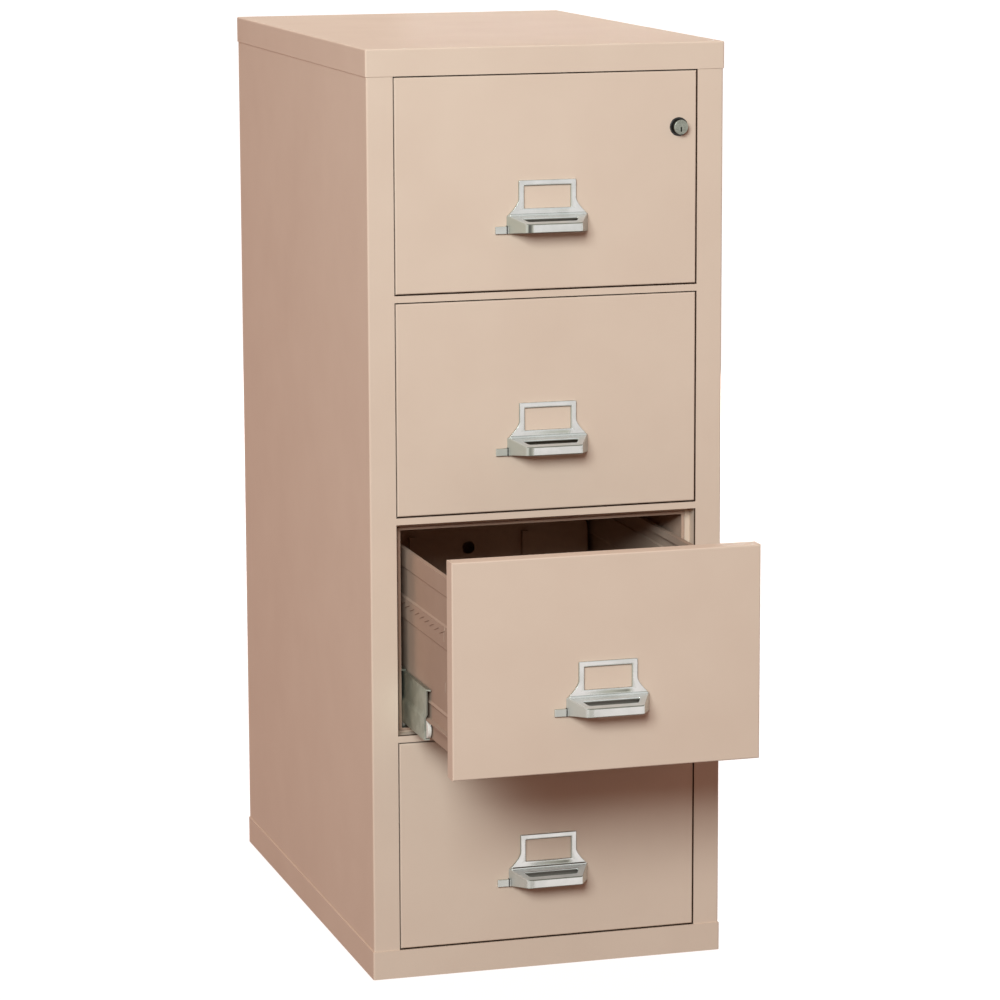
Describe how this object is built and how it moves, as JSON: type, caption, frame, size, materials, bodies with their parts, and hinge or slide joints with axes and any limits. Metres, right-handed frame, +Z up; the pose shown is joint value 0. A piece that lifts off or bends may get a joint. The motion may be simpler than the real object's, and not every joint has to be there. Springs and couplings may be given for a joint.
{
  "type": "insulated vertical filing cabinet",
  "caption": "Free-standing steel vertical file with full-height insulated drawer heads on telescoping cradles, chromed pulls with thumb latches and a plunger lock.",
  "frame": {"origin": "middle of the footprint on the floor, without the drawer that stands open", "axes": "+X to the right of someone facing the drawers, the fronts face -Y, +Z up"},
  "size_m": [0.5286, 1.1181, 1.34],
  "materials": {
    "paint": "satin",
    "drawer_paint": "satin",
    "liner_paint": "satin",
    "follower_paint": "satin",
    "insulation": "matte",
    "zinc_steel": "satin",
    "black_bezel": "satin",
    "lock_metal": "satin",
    "chrome": "polished",
    "nylon": "satin"
  },
  "bodies": {
    "cabinet": {"outer_shell": "paint", "top_cap": "paint", "base_plinth": "paint", "front_frame": "paint", "insulation_sides": "insulation", "insulation_back": "insulation", "insulation_decks": "insulation", "compartment_liners": "liner_paint", "cabinet_rails": "zinc_steel", "rail_screws": "zinc_steel", "latch_strikes": "zinc_steel", "lock_bar_guides": "zinc_steel"},
    "lock_bar": {"lock_bar": "zinc_steel"},
    "lock_plunger": {"lock_plunger": "lock_metal"},
    "key_plug": {"key_plug": "lock_metal"},
    "drawer_1": {"drawer_front_1": "paint", "head_insulation_1": "insulation", "drawer_body_1": "drawer_paint", "handle_1": "chrome", "lock_housing": "black_bezel"},
    "thumb_latch_1": {"thumb_latch_1": "chrome"},
    "follower_1": {"follower_1": "follower_paint"},
    "cradle_1": {"cradle_1": "zinc_steel"},
    "rail_rollers_1": {"rail_rollers_1": "nylon"},
    "cradle_front_rollers_1": {"cradle_front_rollers_1": "nylon"},
    "cradle_rear_rollers_1": {"cradle_rear_rollers_1": "nylon"},
    "drawer_rollers_1": {"drawer_rollers_1": "nylon"},
    "drawer_2": {"drawer_front_2": "paint", "head_insulation_2": "insulation", "drawer_body_2": "drawer_paint", "handle_2": "chrome"},
    "thumb_latch_2": {"thumb_latch_2": "chrome"},
    "follower_2": {"follower_2": "follower_paint"},
    "cradle_2": {"cradle_2": "zinc_steel"},
    "rail_rollers_2": {"rail_rollers_2": "nylon"},
    "cradle_front_rollers_2": {"cradle_front_rollers_2": "nylon"},
    "cradle_rear_rollers_2": {"cradle_rear_rollers_2": "nylon"},
    "drawer_rollers_2": {"drawer_rollers_2": "nylon"},
    "drawer_3": {"drawer_front_3": "paint", "head_insulation_3": "insulation", "drawer_body_3": "drawer_paint", "handle_3": "chrome"},
    "thumb_latch_3": {"thumb_latch_3": "chrome"},
    "follower_3": {"follower_3": "follower_paint"},
    "cradle_3": {"cradle_3": "zinc_steel"},
    "rail_rollers_3": {"rail_rollers_3": "nylon"},
    "cradle_front_rollers_3": {"cradle_front_rollers_3": "nylon"},
    "cradle_rear_rollers_3": {"cradle_rear_rollers_3": "nylon"},
    "drawer_rollers_3": {"drawer_rollers_3": "nylon"},
    "drawer_4": {"drawer_front_4": "paint", "head_insulation_4": "insulation", "drawer_body_4": "drawer_paint", "handle_4": "chrome"},
    "thumb_latch_4": {"thumb_latch_4": "chrome"},
    "follower_4": {"follower_4": "follower_paint"},
    "cradle_4": {"cradle_4": "zinc_steel"},
    "rail_rollers_4": {"rail_rollers_4": "nylon"},
    "cradle_front_rollers_4": {"cradle_front_rollers_4": "nylon"},
    "cradle_rear_rollers_4": {"cradle_rear_rollers_4": "nylon"},
    "drawer_rollers_4": {"drawer_rollers_4": "nylon"}
  },
  "joints": [
    {"name": "drawer_1_slide", "type": "slide", "parent": "cabinet", "child": "drawer_1", "axis": [0, -1, 0], "range_m": [0, 0.66]},
    {"name": "cradle_1_slide", "type": "slide", "parent": "cabinet", "child": "cradle_1", "axis": [0, -1, 0], "range_m": [0, 0.33]},
    {"name": "thumb_latch_1_slide", "type": "slide", "parent": "drawer_1", "child": "thumb_latch_1", "axis": [1, 0, 0], "range_m": [0, 0.008], "stiffness_N_per_m": 350, "springref_m": -0.004},
    {"name": "follower_1_slide", "type": "slide", "parent": "drawer_1", "child": "follower_1", "axis": [0, -1, 0], "range_m": [0, 0.48]},
    {"name": "rail_rollers_1_spin", "type": "hinge", "parent": "cabinet", "child": "rail_rollers_1", "pos_m": [0, -0.3603, 1.00422], "axis": [1, 0, 0], "continuous": true},
    {"name": "cradle_front_rollers_1_spin", "type": "hinge", "parent": "cradle_1", "child": "cradle_front_rollers_1", "pos_m": [0, -0.351, 1.02442], "axis": [1, 0, 0], "continuous": true},
    {"name": "cradle_rear_rollers_1_spin", "type": "hinge", "parent": "cradle_1", "child": "cradle_rear_rollers_1", "pos_m": [0, 0.325, 1.01263], "axis": [1, 0, 0], "continuous": true},
    {"name": "drawer_rollers_1_spin", "type": "hinge", "parent": "drawer_1", "child": "drawer_rollers_1", "pos_m": [0, 0.285, 1.02442], "axis": [1, 0, 0], "continuous": true},
    {"name": "drawer_2_slide", "type": "slide", "parent": "cabinet", "child": "drawer_2", "axis": [0, -1, 0], "range_m": [0, 0.66]},
    {"name": "cradle_2_slide", "type": "slide", "parent": "cabinet", "child": "cradle_2", "axis": [0, -1, 0], "range_m": [0, 0.33]},
    {"name": "thumb_latch_2_slide", "type": "slide", "parent": "drawer_2", "child": "thumb_latch_2", "axis": [1, 0, 0], "range_m": [0, 0.008], "stiffness_N_per_m": 350, "springref_m": -0.004},
    {"name": "follower_2_slide", "type": "slide", "parent": "drawer_2", "child": "follower_2", "axis": [0, -1, 0], "range_m": [0, 0.48]},
    {"name": "rail_rollers_2_spin", "type": "hinge", "parent": "cabinet", "child": "rail_rollers_2", "pos_m": [0, -0.3603, 0.68685], "axis": [1, 0, 0], "continuous": true},
    {"name": "cradle_front_rollers_2_spin", "type": "hinge", "parent": "cradle_2", "child": "cradle_front_rollers_2", "pos_m": [0, -0.351, 0.70705], "axis": [1, 0, 0], "continuous": true},
    {"name": "cradle_rear_rollers_2_spin", "type": "hinge", "parent": "cradle_2", "child": "cradle_rear_rollers_2", "pos_m": [0, 0.325, 0.69525], "axis": [1, 0, 0], "continuous": true},
    {"name": "drawer_rollers_2_spin", "type": "hinge", "parent": "drawer_2", "child": "drawer_rollers_2", "pos_m": [0, 0.285, 0.70705], "axis": [1, 0, 0], "continuous": true},
    {"name": "drawer_3_slide", "type": "slide", "parent": "cabinet", "child": "drawer_3", "axis": [0, -1, 0], "range_m": [-0.28, 0.38]},
    {"name": "cradle_3_slide", "type": "slide", "parent": "cabinet", "child": "cradle_3", "axis": [0, -1, 0], "range_m": [-0.14, 0.19]},
    {"name": "thumb_latch_3_slide", "type": "slide", "parent": "drawer_3", "child": "thumb_latch_3", "axis": [1, 0, 0], "range_m": [0, 0.008], "stiffness_N_per_m": 350, "springref_m": -0.004},
    {"name": "follower_3_slide", "type": "slide", "parent": "drawer_3", "child": "follower_3", "axis": [0, -1, 0], "range_m": [0, 0.48]},
    {"name": "rail_rollers_3_spin", "type": "hinge", "parent": "cabinet", "child": "rail_rollers_3", "pos_m": [0, -0.3603, 0.36947], "axis": [1, 0, 0], "continuous": true},
    {"name": "cradle_front_rollers_3_spin", "type": "hinge", "parent": "cradle_3", "child": "cradle_front_rollers_3", "pos_m": [0, -0.491, 0.38967], "axis": [1, 0, 0], "continuous": true},
    {"name": "cradle_rear_rollers_3_spin", "type": "hinge", "parent": "cradle_3", "child": "cradle_rear_rollers_3", "pos_m": [0, 0.185, 0.37788], "axis": [1, 0, 0], "continuous": true},
    {"name": "drawer_rollers_3_spin", "type": "hinge", "parent": "drawer_3", "child": "drawer_rollers_3", "pos_m": [0, 0.005, 0.38967], "axis": [1, 0, 0], "continuous": true},
    {"name": "drawer_4_slide", "type": "slide", "parent": "cabinet", "child": "drawer_4", "axis": [0, -1, 0], "range_m": [0, 0.66]},
    {"name": "cradle_4_slide", "type": "slide", "parent": "cabinet", "child": "cradle_4", "axis": [0, -1, 0], "range_m": [0, 0.33]},
    {"name": "thumb_latch_4_slide", "type": "slide", "parent": "drawer_4", "child": "thumb_latch_4", "axis": [1, 0, 0], "range_m": [0, 0.008], "stiffness_N_per_m": 350, "springref_m": -0.004},
    {"name": "follower_4_slide", "type": "slide", "parent": "drawer_4", "child": "follower_4", "axis": [0, -1, 0], "range_m": [0, 0.48]},
    {"name": "rail_rollers_4_spin", "type": "hinge", "parent": "cabinet", "child": "rail_rollers_4", "pos_m": [0, -0.3603, 0.0521], "axis": [1, 0, 0], "continuous": true},
    {"name": "cradle_front_rollers_4_spin", "type": "hinge", "parent": "cradle_4", "child": "cradle_front_rollers_4", "pos_m": [0, -0.351, 0.0723], "axis": [1, 0, 0], "continuous": true},
    {"name": "cradle_rear_rollers_4_spin", "type": "hinge", "parent": "cradle_4", "child": "cradle_rear_rollers_4", "pos_m": [0, 0.325, 0.0605], "axis": [1, 0, 0], "continuous": true},
    {"name": "drawer_rollers_4_spin", "type": "hinge", "parent": "drawer_4", "child": "drawer_rollers_4", "pos_m": [0, 0.285, 0.0723], "axis": [1, 0, 0], "continuous": true},
    {"name": "lock_plunger_slide", "type": "slide", "parent": "drawer_1", "child": "lock_plunger", "axis": [0, 1, 0], "range_m": [0, 0.01], "stiffness_N_per_m": 400, "springref_m": -0.005},
    {"name": "key_plug_turn", "type": "hinge", "parent": "lock_plunger", "child": "key_plug", "pos_m": [0.196, -0.3993, 1.217], "axis": [0, -1, 0], "range_deg": [-90, 0]},
    {"name": "lock_bar_slide", "type": "slide", "parent": "cabinet", "child": "lock_bar", "axis": [0, 0, -1], "range_m": [0, 0.01]}
  ],
  "couplings": [
    {"joint": "cradle_1_slide", "follows": "drawer_1_slide", "ratio": 0.5},
    {"joint": "rail_rollers_1_spin", "follows": "drawer_1_slide", "rad_per_m": 108.7},
    {"joint": "cradle_front_rollers_1_spin", "follows": "drawer_1_slide", "rad_per_m": 38.462},
    {"joint": "cradle_rear_rollers_1_spin", "follows": "drawer_1_slide", "rad_per_m": 38.462},
    {"joint": "drawer_rollers_1_spin", "follows": "drawer_1_slide", "rad_per_m": 38.462},
    {"joint": "cradle_2_slide", "follows": "drawer_2_slide", "ratio": 0.5},
    {"joint": "rail_rollers_2_spin", "follows": "drawer_2_slide", "rad_per_m": 108.7},
    {"joint": "cradle_front_rollers_2_spin", "follows": "drawer_2_slide", "rad_per_m": 38.462},
    {"joint": "cradle_rear_rollers_2_spin", "follows": "drawer_2_slide", "rad_per_m": 38.462},
    {"joint": "drawer_rollers_2_spin", "follows": "drawer_2_slide", "rad_per_m": 38.462},
    {"joint": "cradle_3_slide", "follows": "drawer_3_slide", "ratio": 0.5},
    {"joint": "rail_rollers_3_spin", "follows": "drawer_3_slide", "rad_per_m": 108.7},
    {"joint": "cradle_front_rollers_3_spin", "follows": "drawer_3_slide", "rad_per_m": 38.462},
    {"joint": "cradle_rear_rollers_3_spin", "follows": "drawer_3_slide", "rad_per_m": 38.462},
    {"joint": "drawer_rollers_3_spin", "follows": "drawer_3_slide", "rad_per_m": 38.462},
    {"joint": "cradle_4_slide", "follows": "drawer_4_slide", "ratio": 0.5},
    {"joint": "rail_rollers_4_spin", "follows": "drawer_4_slide", "rad_per_m": 108.7},
    {"joint": "cradle_front_rollers_4_spin", "follows": "drawer_4_slide", "rad_per_m": 38.462},
    {"joint": "cradle_rear_rollers_4_spin", "follows": "drawer_4_slide", "rad_per_m": 38.462},
    {"joint": "drawer_rollers_4_spin", "follows": "drawer_4_slide", "rad_per_m": 38.462},
    {"joint": "lock_bar_slide", "follows": "lock_plunger_slide", "ratio": 1}
  ]
}
